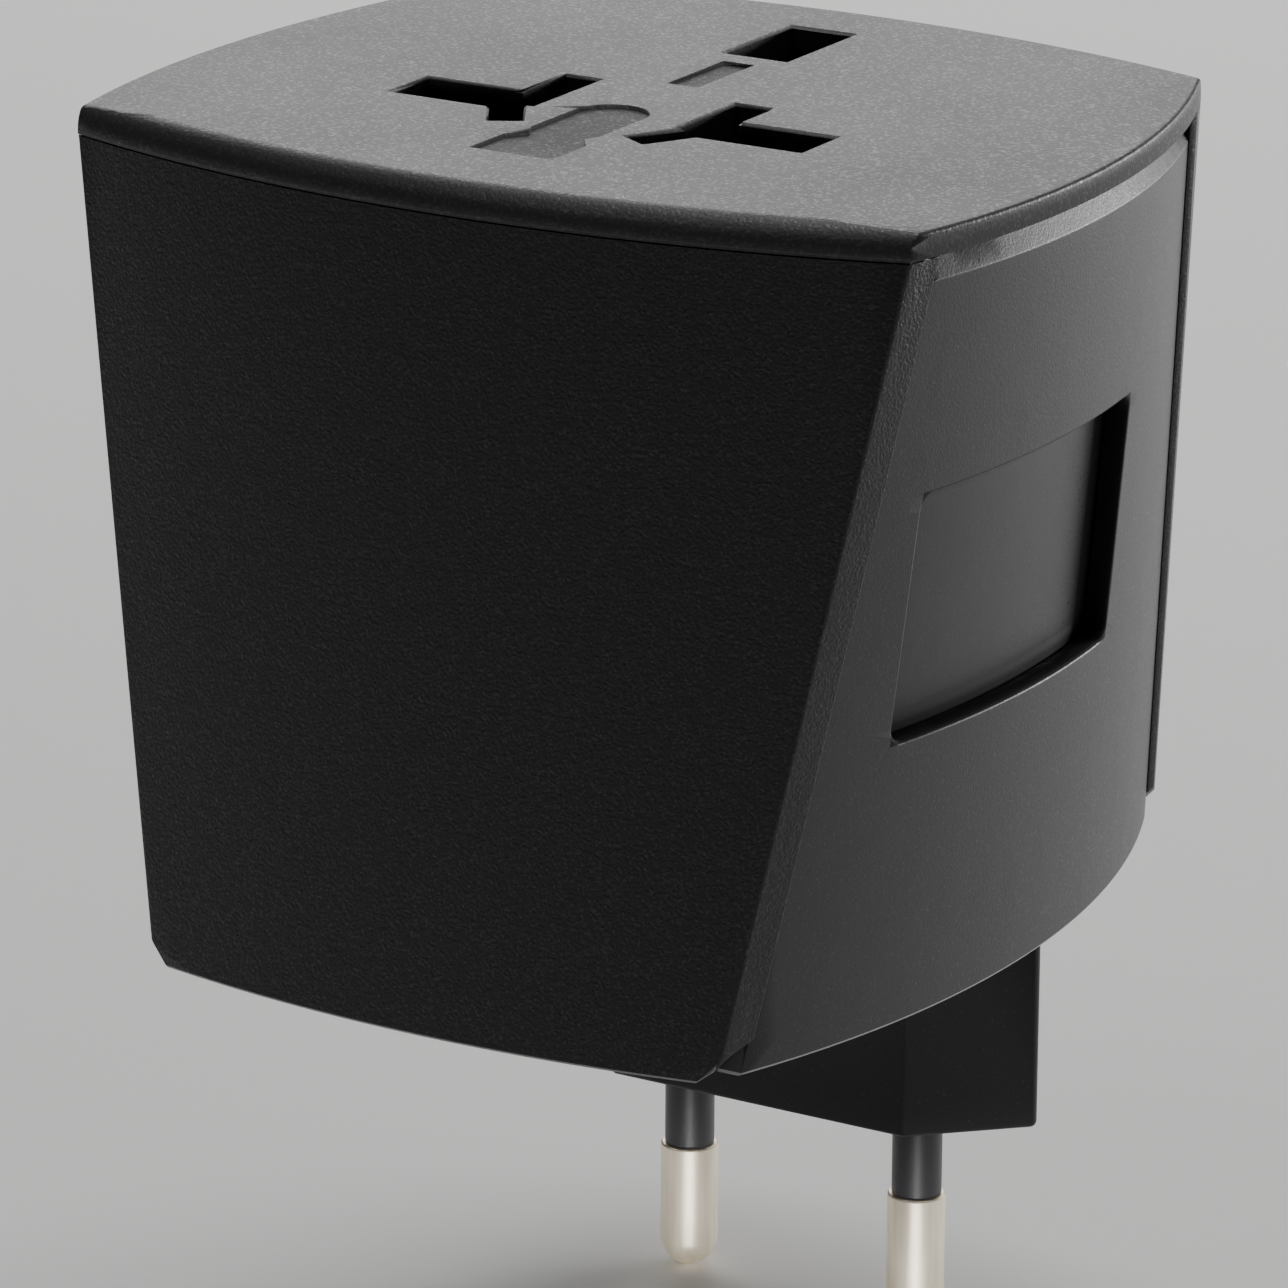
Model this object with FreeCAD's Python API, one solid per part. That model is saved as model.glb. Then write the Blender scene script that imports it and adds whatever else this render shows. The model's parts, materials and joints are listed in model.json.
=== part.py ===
import FreeCAD, Part
import math
import os

# Universal travel adapter, millimetres. X runs along the front face, Y to the back, Z up.
# The origin lies on the socket face, midway between the line and neutral slots.

Vector = FreeCAD.Vector

# ---- driving dimensions of the housing ---------------------------------------------------------
BODY_H = 54.0            # socket face to bottom plate
CAP_H = 2.0              # rim of the top cap
WALL = 2.0               # housing wall
SEAM = 0.1               # joint line between housing shells
TOP = {"front_w": 30.0, "front_y": -15.4, "front_apex": -20.4, "side_x": 32.1, "side_y": 1.7,
       "back_w": 26.4, "back_y": 29.8, "back_apex": 33.8}
BOTTOM = {"front_w": 20.8, "front_y": -21.9, "front_apex": -24.15, "side_x": 26.7, "side_y": 8.0,
          "back_w": 19.9, "back_y": 38.7, "back_apex": 40.9}
RETURN_TOP = 2.7         # how far a cover wraps round its corner, at the top
RETURN_BOTTOM = 2.3      # and at the bottom
PANEL_INSET = 0.45       # side panels sit this far inside the covers
BAND_H = 2.2             # sloping band along the top of a side panel
BAND_IN = 1.05           # how far that band leans in
BAND_EDGE = 0.3          # rounding where the band meets the panel
COVER_EDGE = 0.35        # rounding of the covers' long edges
SPLIT_EDGE = 0.15        # rounding of the front cover's edges beside the side panels
SPLIT_BEVEL = 0.4        # bevel of the back cover's edges beside the side panels
FOOT_EDGE = 0.25         # rounding of the housing's lower edges
COVER_CORNER = 1.3       # clipped bottom corners of the covers
REACH = 60.0             # half size of a tool that cuts past the housing
OVER = 5.0               # how far cutting tools stand out above and below

# ---- socket face -------------------------------------------------------------------------------
CAP_EDGE = 1.75          # rounding of the cap's front and back edges
CAP_SIDE_EDGE = 0.3      # rounding of the cap's side edges
PLATEAU = 24.4           # half width of the level part of the socket face
MARGIN_DROP = 0.4        # fall of the side margins at the housing's widest point
CAP_LIP = 2.4            # height of the locating lip under the cap
LIP_IN = 3.0             # how far inside the rim the lip stands
LIP_T = 1.4
ROUND_SLOT = (7.6, 15.0, 2.3)        # from x, to x, half width of the round and flat-pin slots
BLADE_SLOT = (5.3, 7.9, -0.8, 6.5)   # from x, to x, from y, to y of the straight blade slots
WIDE_BLADE = 1.0                     # the neutral blade slot is this much longer
SKEW_SLOT = (6.05, -2.75, 5.2, 2.2)  # centre x, centre y, length, width of the slanted blade slots
SKEW = 30.0                          # slant of those blades
EARTH_Y = 22.5
EARTH_SLOT = (4.7, 9.0)
SLOT_EDGE = 0.2
RECESS = 0.25                        # depth of the blind recesses
SMALL_RECESS = (2.3, 7.2, 12.4)      # width, length, centre y
KEY_HEAD = (3.0, -12.0, -7.9)        # half width, from y, to y
KEY_NECK = (2.0, -6.5)
KEY_STEM = (2.5, -5.5, 2.45)         # half width, from y, tip y

# ---- press plates and their windows ------------------------------------------------------------
WINDOW_Y = (-10.4, 15.9)
WINDOW_Z = (-34.2, -17.8)
WINDOW_R = 1.2
WINDOW_IN = 18.0         # the window's cutter starts here, inside the wall
WINDOW_EDGE = 0.25       # rounding of the window's outer edge
PLATE_GAP = 0.2          # behind the side panel
PLATE_T = 1.5
PLATE_LAP = 1.2          # the plate is this much larger than its window
LEAF_T = 0.3             # all leaf springs
LEAF_W = 1.8
LEAF_SEAT = 0.05         # clearance at the ends of a leaf spring
PLATE_SPRING = 7.5       # half lengths of the leaf springs
SHUTTER_SPRING = 7.0

# ---- European plug -----------------------------------------------------------------------------
EU_Y = 26.0
EU_HALF = 18.3           # half length over the points
EU_FLAT = 11.4           # half length of the long flats
EU_THICK = 6.5           # half thickness
EU_OUT = 19.4            # plug face below the housing, slid out
EU_BLOCK = 23.0          # height of the full section
EU_HEAD = 6.0            # height of the crosshead
EU_STROKE = 35.5
EU_EDGE = 0.5
EU_PIN_X = 9.0
EU_PIN_R = 2.0
EU_NECK_R = 1.35
EU_SLEEVE_R = 1.72
EU_SEAT = 2.0            # length of the sleeve held in the block
EU_SLEEVE = 6.5          # sleeve length below the plug face
EU_METAL = 9.1           # bare metal below the sleeve
EU_ROOT = 12.0           # length held in the block
CROSSHEAD = (12.4, 5.5)  # half length, half thickness
EARTH_NOTCH = (6.8, 15.0, 2.4)   # width, depth and far wall of the room for an appliance's earth pin

# ---- British plug ------------------------------------------------------------------------------
UK_SPACING = 22.2        # line pin to neutral pin, and both to the earth pin
UK_EARTH_Y = 9.2
UK_PIN = (6.35, 4.0)
UK_EARTH = (4.0, 8.0)
UK_LIVE_OUT = 17.7       # length below the bottom plate
UK_EARTH_OUT = 22.7
UK_STROKE = 23.0
UK_BASE_T = 5.9          # carriage thickness
UK_SLEEVE = 9.0
UK_SLEEVE_T = 0.4
UK_ROOT = 4.0            # length of each pin held in the carriage
UK_BEVEL = (0.7, 0.9)    # bevels of the live and earth pins' tips
UK_BAR_X = 15.2          # front bar's half length
UK_BAR_Y = (-16.5, -9.5)
UK_RAIL_X = 12.4
UK_BACK_Y = (4.4, 14.6)
UK_BACK_X = -6.0

# ---- American and Australian plug --------------------------------------------------------------
US_X = 6.35              # half the blade spacing
US_Y = -2.2              # turret axis
US_BLADE = (1.5, 6.3, 17.5)
US_OFFSET = 1.0          # blade centre behind the turret axis
US_STROKE = 18.0
US_TURRET_R = 4.35
US_TURRET_T = 4.0
US_STUB_R = 2.5
US_HEAD_R = 3.2
US_HEAD_T = 0.8
US_ROOT = 3.0            # length of each blade held in its turret
US_BEVEL = 0.4
US_BASE_T = 4.9
US_BASE_X = 11.3
US_BASE_Y = (-7.5, 3.4)
US_ARM_Y = (-4.0, 2.0)
RUNNING = 0.05           # radial clearance of turning fits
LEVEL_GAP = 0.1          # clearance between pieces one above the other

# ---- sliders -----------------------------------------------------------------------------------
GAP = 0.35               # clearance round sliding plugs
ARM_X = (18.9, 20.3)     # vertical arms pass beside the European block
KNOB_X = 15.5            # side knobs
ARM_END = 32.6
TRACK_FLOOR = 35.4       # outer face of the knob tracks
TRACK_T = 1.8
TRACK_W = 7.0
TRACK_WALL = 1.4
STEM = (2.0, 3.0)        # stem width and height
KNOB = (6.0, 5.2, 1.5)   # knob width, height, thickness
KNOB_EDGE = 0.5
KNOB_LIFT = 0.3          # knob above the floor of its track
KNOB_RIB = (0.6, 0.35, 1.3)      # width, height and spacing of the grip ribs
STEM_GAP = 0.3
ARM_IN = 0.4             # arms are this much thinner than their carriage, above and below

# ---- inside ------------------------------------------------------------------------------------
DECK_TOP = -10.4
DECK_T = 2.0
INNER_GAP = 0.15         # chassis to housing
PLATE_BOTTOM = 2.0       # bottom plate thickness
SOCKET_BLOCK = (16.4, -8.0, 15.0, -19.5)   # half length, from y, to y, underside
POCKET = (4.5, 15.3, 3.5, -18.5)           # from x, to x, half width, floor
CONTACT_T = 0.5
CONTACT_TOP = -11.0
CONTACT_GRIP = 2.3                         # half the gap between the long leaves
BUS_X = 9.3
BUS_W = 3.0
WIPER = 2.0                                # width of the wipers
WIPER_STEPS = (0.4, 4.0, 2.6)              # heights of foot and top over the shoulder, tongue length
WALL_Y = (15.6, 17.1)                      # centre wall
WALL_X = 17.0
WEB_X = (20.7, 21.5)
WEB_Y = (-8.0, 17.5)
POSTS = ((18.2, -15.8, 1.9), (18.7, 31.6, 1.5))   # x, y, radius of the screw posts
SCREW_R = 0.8
SCREW_HEAD = (1.4, 0.9)
SCREW_L = 9.0
SCREW_SLOT = (2.0, 0.4, 0.5)              # length, width and depth of the cross slot
CAP_POSTS = ((21.5, -9.0), (21.8, 20.5))
CAP_POST_R = 1.8
FUSE_Y = 10.6
FUSE_Z = -13.7
FUSE_R = 3.0
FUSE_L = 25.4
FUSE_CAP = (3.17, 6.0)                     # radius and length
FUSE_NECK = 0.4                            # the glass under the caps is this much thinner
FUSE_CLIP = (0.03, 0.35, 4.0, 1.6)         # clearance, thickness, width, height above the axis
FUSE_POCKET = (14.6, 3.7, -17.3)
SHUTTER_TOP = -8.2
SHUTTER_T = 1.2
SHUTTER_X = 16.0
SHUTTER_Y = (-4.6, 9.2)
SHUTTER_TRAVEL = 4.6
SHUTTER_RAIL = 1.0
SHUTTER_RAMP = (1.6, 0.8)                  # length and drop of the ramps that a pin pushes
STOP_Y = (-12.4, -11.4)
RAIL_OVER = 0.4                            # shutter rails stand this far above the shutter
RAIL_END = 11.0
SLIDE_GAP = 0.2                            # clearance beside the shutter and the contacts
SPRING_H = 1.0                             # height of the shutter spring

# ---- places that follow from the above ---------------------------------------------------------
SEAT = -BODY_H + PLATE_BOTTOM           # inner face of the bottom plate
EU_FACE = -BODY_H - EU_OUT              # plug face, slid out
EU_SHOULDER = EU_FACE + EU_BLOCK        # top of the full section
EU_TOP = EU_SHOULDER + EU_HEAD
UK_Y = UK_EARTH_Y - UK_SPACING          # line and neutral pins
UK_UNDER = SEAT + LEVEL_GAP + UK_STROKE # underside of the British carriage, stowed
UK_ABOVE = UK_UNDER + UK_BASE_T
UK_PLATE = UK_UNDER - PLATE_BOTTOM - LEVEL_GAP      # stowed place of what meets the plate's face, slid out
US_TURRET_UNDER = -BODY_H + US_STROKE
US_UNDER = US_TURRET_UNDER + US_TURRET_T + LEVEL_GAP
US_ABOVE = US_UNDER + US_BASE_T
DECK_UNDER = DECK_TOP - DECK_T
BUS_Y = WALL_Y[1] + LEAF_SEAT           # front face of the busbars
EU_KNOB_Z = (EU_TOP + EU_SHOULDER) / 2
UK_KNOB_Z = (UK_ABOVE + UK_UNDER) / 2
US_KNOB_Z = (US_ABOVE + US_UNDER) / 2


# ---- helpers -----------------------------------------------------------------------------------
def box(x0, x1, y0, y1, z0, z1):
    return Part.makeBox(x1 - x0, y1 - y0, z1 - z0, Vector(x0, y0, z0))


def prism(points, z0, z1):
    """Upright prism over a closed outline of (x, y) points."""
    corners = [Vector(x, y, z0) for x, y in points]
    return Part.Face(Part.makePolygon(corners + corners[:1])).extrude(Vector(0, 0, z1 - z0))


def prism_along_x(points, x0, x1):
    """Prism along X over a closed outline of (y, z) points."""
    corners = [Vector(x0, y, z) for y, z in points]
    return Part.Face(Part.makePolygon(corners + corners[:1])).extrude(Vector(x1 - x0, 0, 0))


def prism_along_y(points):
    """Prism right through the housing along Y, over a closed outline of (x, z) points."""
    corners = [Vector(x, -REACH, z) for x, z in points]
    return Part.Face(Part.makePolygon(corners + corners[:1])).extrude(Vector(0, 2 * REACH, 0))


def rod(x, y, r, z0, z1):
    return Part.makeCylinder(r, z1 - z0, Vector(x, y, z0))


def fused(shapes):
    whole = shapes[0]
    if len(shapes) > 1:
        whole = whole.multiFuse(shapes[1:])
    return whole.removeSplitter()


def cut(shape, *tools):
    return shape.cut(fused(list(tools))) if tools else shape


def mirrored(shape):
    return shape.mirror(Vector(0, 0, 0), Vector(1, 0, 0))


def both_sides(shape):
    return [shape, mirrored(shape)]


def round_edges(shape, radius, chosen):
    return shape.makeFillet(radius, [e for e in shape.Edges if chosen(e)])


def bevel_edges(shape, size, chosen):
    return shape.makeChamfer(size, [e for e in shape.Edges if chosen(e)])


def at_level(edge, z):
    b = edge.BoundBox
    return abs(b.ZMin - z) < 0.001 and abs(b.ZMax - z) < 0.001


def upright(edge):
    b = edge.BoundBox
    return b.XLength < 0.001 and b.YLength < 0.001


def write(name, shape):
    solids = shape.Solids
    if min(s.Volume for s in solids) < 0.5:
        raise ValueError(name + " has a stray sliver")
    shape = solids[0] if len(solids) == 1 else Part.makeCompound(solids)
    if not shape.isValid():
        raise ValueError(name + " is not a valid solid")
    shape.exportStep("parts/" + name + ".step")
    print(name, len(solids), round(shape.Volume, 1))


# ---- housing form ------------------------------------------------------------------------------
def circle_through(a, b, c):
    """Centre and radius of the circle through three points."""
    d = 2 * (a[0] * (b[1] - c[1]) + b[0] * (c[1] - a[1]) + c[0] * (a[1] - b[1]))
    sa, sb, sc = (p[0] ** 2 + p[1] ** 2 for p in (a, b, c))
    x = (sa * (b[1] - c[1]) + sb * (c[1] - a[1]) + sc * (a[1] - b[1])) / d
    y = (sa * (c[0] - b[0]) + sb * (a[0] - c[0]) + sc * (b[0] - a[0])) / d
    return x, y, math.hypot(a[0] - x, a[1] - y)


def crossing(first, second, near):
    """The crossing point of two circles that is nearer to a given point."""
    (x0, y0, r0), (x1, y1, r1) = first, second
    d = math.hypot(x1 - x0, y1 - y0)
    a = (r0 ** 2 - r1 ** 2 + d ** 2) / (2 * d)
    h = math.sqrt(r0 ** 2 - a ** 2)
    mx, my = x0 + a * (x1 - x0) / d, y0 + a * (y1 - y0) / d
    ends = [(mx + s * h * (y1 - y0) / d, my - s * h * (x1 - x0) / d) for s in (1, -1)]
    return min(ends, key=lambda p: math.hypot(p[0] - near[0], p[1] - near[1]))


def outline(level, inset, z):
    """Closed plan outline of four arcs, moved inwards by inset."""
    fw, fy, bw, by = level["front_w"], level["front_y"], level["back_w"], level["back_y"]
    arcs = {"front": circle_through((-fw, fy), (0, level["front_apex"]), (fw, fy)),
            "side": circle_through((fw, fy), (level["side_x"], level["side_y"]), (bw, by)),
            "back": circle_through((-bw, by), (0, level["back_apex"]), (bw, by))}
    arcs = {k: (x, y, r - inset) for k, (x, y, r) in arcs.items()}
    front = crossing(arcs["front"], arcs["side"], (fw, fy))
    back = crossing(arcs["back"], arcs["side"], (bw, by))
    side = (arcs["side"][0] + arcs["side"][2], arcs["side"][1])
    runs = [((-front[0], front[1]), (0, level["front_apex"] + inset), front),
            (front, side, back),
            (back, (0, level["back_apex"] - inset), (-back[0], back[1])),
            ((-back[0], back[1]), (-side[0], side[1]), (-front[0], front[1]))]
    return Part.Wire([Part.Arc(*(Vector(x, y, z) for x, y in run)).toShape() for run in runs])


def form(inset):
    """The housing's solid form below the cap, moved inwards by inset."""
    wires = [outline(BOTTOM, inset, -BODY_H), outline(TOP, inset, -CAP_H)]
    return Part.makeLoft(wires, True, True)


def slab(z0, z1):
    return box(-REACH, REACH, -REACH, REACH, z0, z1)


def ahead_of(y_top, y_bottom):
    """Everything in front of the plane that holds X and passes y_top and y_bottom."""
    slope = (y_bottom - y_top) / (BODY_H - CAP_H)
    z0, z1 = -BODY_H - OVER, OVER
    ends = [(y_top + slope * (-CAP_H - z), z) for z in (z0, z1)]
    return prism_along_x([(-REACH, z0), ends[0], ends[1], (-REACH, z1)], -REACH, REACH)


def front_zone(gap):
    return ahead_of(TOP["front_y"] + RETURN_TOP + gap, BOTTOM["front_y"] + RETURN_BOTTOM + gap)


def back_zone(gap):
    split = ahead_of(TOP["back_y"] - RETURN_TOP - gap, BOTTOM["back_y"] - RETURN_BOTTOM - gap)
    return slab(-BODY_H - OVER, OVER).cut(split)


def clipped_corners(half_width):
    """Tools that clip a cover's two bottom corners."""
    x, z = half_width, -BODY_H
    c, over = COVER_CORNER, COVER_CORNER + OVER
    points = [(x - c, z), (x, z + c), (x + OVER, z + over), (x + OVER, z - OVER), (x - c, z - OVER)]
    return both_sides(prism_along_y(points))


def hexagon(grow):
    """Plan outline of the European block, grown on all sides."""
    lean = math.hypot(EU_HALF - EU_FLAT, EU_THICK)
    tip = EU_HALF + grow * lean / EU_THICK
    half = EU_THICK + grow
    flat = tip - (EU_HALF - EU_FLAT) * half / EU_THICK
    return [(tip, EU_Y), (flat, EU_Y + half), (-flat, EU_Y + half),
            (-tip, EU_Y), (-flat, EU_Y - half), (flat, EU_Y - half)]


# ---- housing -----------------------------------------------------------------------------------
def slot_tools():
    """Upright cutters for the line, neutral and earth slots."""
    z0, z1 = -CAP_H - CAP_LIP - OVER, OVER
    x0, x1, half = ROUND_SLOT
    bx0, bx1, by0, by1 = BLADE_SLOT
    cx, cy, length, width = SKEW_SLOT
    skew = box(-width / 2, width / 2, -length / 2, length / 2, z0, z1)
    skew.rotate(Vector(0, 0, 0), Vector(0, 0, 1), -SKEW)
    skew.translate(Vector(cx, cy, 0))
    right = fused([box(x0, x1, -half, half, z0, z1), box(bx0, bx1, by0, by1, z0, z1), skew])
    left = fused([mirrored(right), box(-bx1, -bx0, by0, by1 + WIDE_BLADE, z0, z1)])
    earth = around(0, EARTH_Y, EARTH_SLOT[0] / 2, EARTH_SLOT[1] / 2, z0, z1)
    return [right, left, earth]


def lead_in(tool):
    """Bevelled mouth of a slot at the socket face."""
    low = tool.slice(Vector(0, 0, 1), -SLOT_EDGE)[0]
    high = low.makeOffset2D(SLOT_EDGE, 2)
    high.translate(Vector(0, 0, SLOT_EDGE))
    return Part.makeLoft([low, high], True, True)


def key_recess():
    """Cutter for the keyhole-shaped recess: a broad head, a neck and a round-ended stem."""
    head, y0, y1 = KEY_HEAD
    neck, neck_y = KEY_NECK
    stem, y2, tip = KEY_STEM
    points = [(-head, y0), (head, y0), (head, y1), (neck, neck_y), (stem, y2), (stem, tip - stem),
              (-stem, tip - stem), (-stem, y2), (-neck, neck_y), (-head, y1)]
    return fused([prism(points, -RECESS, 1), rod(0, tip - stem, stem, -RECESS, 1)])


def ring(inset_out, inset_in, z0, z1):
    """Upright rim that follows the housing's plan outline."""
    up = Vector(0, 0, z1 - z0)
    outer, inner = [Part.Face(outline(TOP, inset, z0)).extrude(up) for inset in (inset_out, inset_in)]
    return outer.cut(inner)


def cap_blank():
    """The cap's outer form: rounded front and back edges and side margins that fall away."""
    cap = Part.Face(outline(TOP, 0, -CAP_H)).extrude(Vector(0, 0, CAP_H))
    cap = round_edges(cap, CAP_EDGE, lambda e: at_level(e, 0) and e.BoundBox.YLength < e.BoundBox.XLength)
    x = TOP["side_x"] + OVER
    drop = MARGIN_DROP * (x - PLATEAU) / (TOP["side_x"] - PLATEAU)
    margin = [(PLATEAU, 0), (x, -drop), (x, OVER), (PLATEAU, OVER)]
    cap = cut(cap, *both_sides(prism_along_y(margin)))
    return round_edges(cap, CAP_SIDE_EDGE, cap_side_edge)


def cap_side_edge(edge):
    b = edge.BoundBox
    return b.ZMin > -MARGIN_DROP - 0.05 and b.YLength > b.XLength and abs(b.Center.x) > PLATEAU + 0.5


def top_cap():
    posts = [rod(s * x, y, CAP_POST_R, DECK_TOP, -CAP_H) for x, y in CAP_POSTS for s in (1, -1)]
    cap = fused([cap_blank(), ring(LIP_IN, LIP_IN + LIP_T, -CAP_H - CAP_LIP, -CAP_H)] + posts)
    cap = cut(cap, *slot_tools(), *[lead_in(tool) for tool in slot_tools()])
    w, length, y = SMALL_RECESS
    return cut(cap, around(0, y, w / 2, length / 2, -RECESS, OVER), key_recess())


def shell():
    return form(0).cut(form(WALL)).common(slab(-BODY_H, -CAP_H - SEAM))


def cover(zone, level, top_level, name):
    """One wrap-round shell with rounded long edges and a rounded foot."""
    width = name + "_w"
    shape = cut(shell().common(zone), *clipped_corners(level[width]))
    corner = (top_level[width], top_level[name + "_y"])
    shape = round_edges(shape, COVER_EDGE, lambda e: e.BoundBox.ZLength > BODY_H / 2 and starts_at(e, corner))
    return round_edges(shape, FOOT_EDGE, lambda e: at_level(e, -BODY_H) and follows(e, level[name + "_apex"]))


def starts_at(edge, corner):
    """True if the edge's upper end is at a corner of the plan, on either side."""
    top = max(edge.Vertexes, key=lambda v: v.Z)
    return math.hypot(abs(top.X) - corner[0], top.Y - corner[1]) < 3 * SEAM


def follows(edge, apex_y):
    """True if the edge passes the middle of the front or back at apex_y."""
    b = edge.BoundBox
    return min(abs(b.YMin - apex_y), abs(b.YMax - apex_y)) < SEAM


def beside_panel(edge, y, width):
    """True for a cover's long outer edge beside a side panel; y and width are its plan's at the top."""
    top = max(edge.Vertexes, key=lambda v: v.Z)
    return edge.BoundBox.ZLength > BODY_H / 2 and abs(top.X) > width and abs(top.Y - y) < SEAM


def front_cover():
    split = TOP["front_y"] + RETURN_TOP
    shape = cover(front_zone(0), BOTTOM, TOP, "front")
    return round_edges(shape, SPLIT_EDGE, lambda e: beside_panel(e, split, TOP["front_w"]))


def track(x, z_low, z_high):
    """Inner channel of one knob, and the cutters for its groove and its stem slot."""
    half = TRACK_W / 2
    body = box(x - half - TRACK_WALL, x + half + TRACK_WALL, TRACK_FLOOR - TRACK_T, REACH, SEAT, z_high + 4)
    groove = box(x - half, x + half, TRACK_FLOOR, REACH, SEAT, z_high + KNOB[1] / 2 + STEM_GAP + 0.5)
    side, tall = STEM[0] / 2 + STEM_GAP, STEM[1] / 2 + STEM_GAP
    slot = box(x - side, x + side, TRACK_FLOOR - 5, REACH, z_low - tall, z_high + tall)
    return body, groove, slot


def back_cover():
    tracks = [track(0, EU_KNOB_Z, EU_KNOB_Z + EU_STROKE),
              track(KNOB_X, UK_KNOB_Z - UK_STROKE, UK_KNOB_Z),
              track(-KNOB_X, US_KNOB_Z - US_STROKE, US_KNOB_Z)]
    room = fused([form(WALL + SEAM), form(0).common(back_zone(0))])
    room = room.common(slab(SEAT, -CAP_H - SEAM))
    split = TOP["back_y"] - RETURN_TOP
    shape = cover(back_zone(0), BOTTOM, TOP, "back")
    shape = bevel_edges(shape, SPLIT_BEVEL, lambda e: beside_panel(e, split, TOP["back_w"]))
    shape = fused([shape] + [t[0].common(room) for t in tracks])
    return cut(shape, *[tool for t in tracks for tool in t[1:]])


def window_tool(inner, outer):
    """Rounded cutter through the right wall, from x = inner to x = outer."""
    tool = box(inner, outer, *WINDOW_Y, *WINDOW_Z)
    return round_edges(tool, WINDOW_R, lambda e: e.BoundBox.YLength < 0.001 and e.BoundBox.ZLength < 0.001)


def outer_face(panel):
    """The panel's large outer face."""
    large = [f for f in panel.Faces if f.Area > max(g.Area for g in panel.Faces) / 2]
    return max(large, key=lambda f: f.CenterOfMass.x)


def band_foot(edge, z):
    """True for the edge where the sloping band meets the panel, near the height z."""
    b = edge.BoundBox
    return b.YLength > BODY_H / 2 and z < b.ZMax < z + BAND_H - SEAM


def side_panel_right():
    upper = -CAP_H - SEAM
    levels = [(upper - BAND_H, PANEL_INSET), (upper, PANEL_INSET + BAND_IN)]
    lean = Part.makeLoft([outline(TOP, inset, z) for z, inset in levels], True, True)
    panel = form(PANEL_INSET).cut(form(WALL)).common(slab(-BODY_H, upper))
    panel = panel.cut(slab(upper - BAND_H, upper).cut(lean)).cut(front_zone(SEAM)).cut(back_zone(SEAM))
    panel = panel.common(box(0, REACH, -REACH, REACH, -REACH, OVER))
    panel = round_edges(panel, BAND_EDGE, lambda e: band_foot(e, upper - BAND_H))
    panel = cut(panel, window_tool(WINDOW_IN, REACH))
    rim = [w for w in outer_face(panel).Wires if w.BoundBox.ZLength < BODY_H / 2][0]
    panel = round_edges(panel, WINDOW_EDGE, lambda e: any(e.isSame(r) for r in rim.Edges))
    foot = [e for e in outer_face(panel).OuterWire.Edges if at_level(e, -BODY_H)]
    return round_edges(panel, FOOT_EDGE, lambda e: any(e.isSame(f) for f in foot))


def around(x, y, half_x, half_y, z0, z1):
    """Upright box centred on (x, y)."""
    return box(x - half_x, x + half_x, y - half_y, y + half_y, z0, z1)


def bottom_plate():
    plate = form(WALL + SEAM / 2).common(slab(-BODY_H, SEAT))
    z0, z1 = -BODY_H - OVER, SEAT + OVER
    live = around(UK_SPACING / 2, UK_Y, UK_PIN[0] / 2 + GAP, UK_PIN[1] / 2 + GAP, z0, z1)
    earth = around(0, UK_EARTH_Y, UK_EARTH[0] / 2 + GAP, UK_EARTH[1] / 2 + GAP, z0, z1)
    turret = rod(US_X, US_Y, US_TURRET_R + GAP / 2, z0, z1)
    tools = [prism(hexagon(GAP), z0, z1), earth] + both_sides(live) + both_sides(turret)
    for x, y, r in POSTS:
        tools += both_sides(rod(x, y, SCREW_R + RUNNING, z0, z1))
        tools += both_sides(rod(x, y, SCREW_HEAD[0] + RUNNING, z0, -BODY_H + SCREW_HEAD[1] + RUNNING))
    return cut(plate, *tools)


def housing_screws():
    screws = []
    length, width, depth = (SCREW_SLOT[0] / 2, SCREW_SLOT[1] / 2, SCREW_SLOT[2])
    for x, y, r in POSTS:
        head = rod(x, y, SCREW_HEAD[0], -BODY_H, -BODY_H + SCREW_HEAD[1])
        shank = rod(x, y, SCREW_R, -BODY_H, -BODY_H + SCREW_L)
        cross = fused([around(x, y, length, width, -BODY_H - OVER, -BODY_H + depth),
                       around(x, y, width, length, -BODY_H - OVER, -BODY_H + depth)])
        screws += both_sides(fused([head, shank]).cut(cross))
    return Part.makeCompound(screws)


# ---- chassis -----------------------------------------------------------------------------------
def chassis_blank():
    """Deck, socket block, centre wall, side webs, screw posts, and the shutter's rails and stop."""
    half, y0, y1, under = SOCKET_BLOCK
    rail_x, rail_top = SHUTTER_X + SLIDE_GAP, SHUTTER_TOP + RAIL_OVER
    block = box(-half, half, y0, y1, under, DECK_TOP)
    wall = box(-WALL_X, WALL_X, *WALL_Y, SEAT, DECK_TOP)
    stop = box(-SHUTTER_X, SHUTTER_X, *STOP_Y, DECK_UNDER, rail_top)
    webs = both_sides(box(*WEB_X, *WEB_Y, SEAT, DECK_TOP))
    rails = both_sides(box(rail_x, rail_x + SHUTTER_RAIL, STOP_Y[0], RAIL_END, DECK_UNDER, rail_top))
    posts = [rod(s * x, y, r, SEAT, DECK_TOP) for x, y, r in POSTS for s in (1, -1)]
    blank = fused([slab(DECK_UNDER, DECK_TOP), block, wall, stop] + webs + posts + rails)
    return blank.common(form(WALL + INNER_GAP))


def plug_room():
    """Upright room for the European plug, with channels for its wipers."""
    grow = GAP + SLIDE_GAP
    z0 = -BODY_H - OVER
    behind = box(-EU_FLAT - grow, EU_FLAT + grow, EU_Y, REACH, z0, OVER)
    channel = box(BUS_X - WIPER / 2 - GAP, BUS_X + WIPER / 2 + GAP, WALL_Y[1], EU_Y, z0, OVER)
    return fused([prism(hexagon(grow), z0, OVER), behind] + both_sides(channel))


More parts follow.
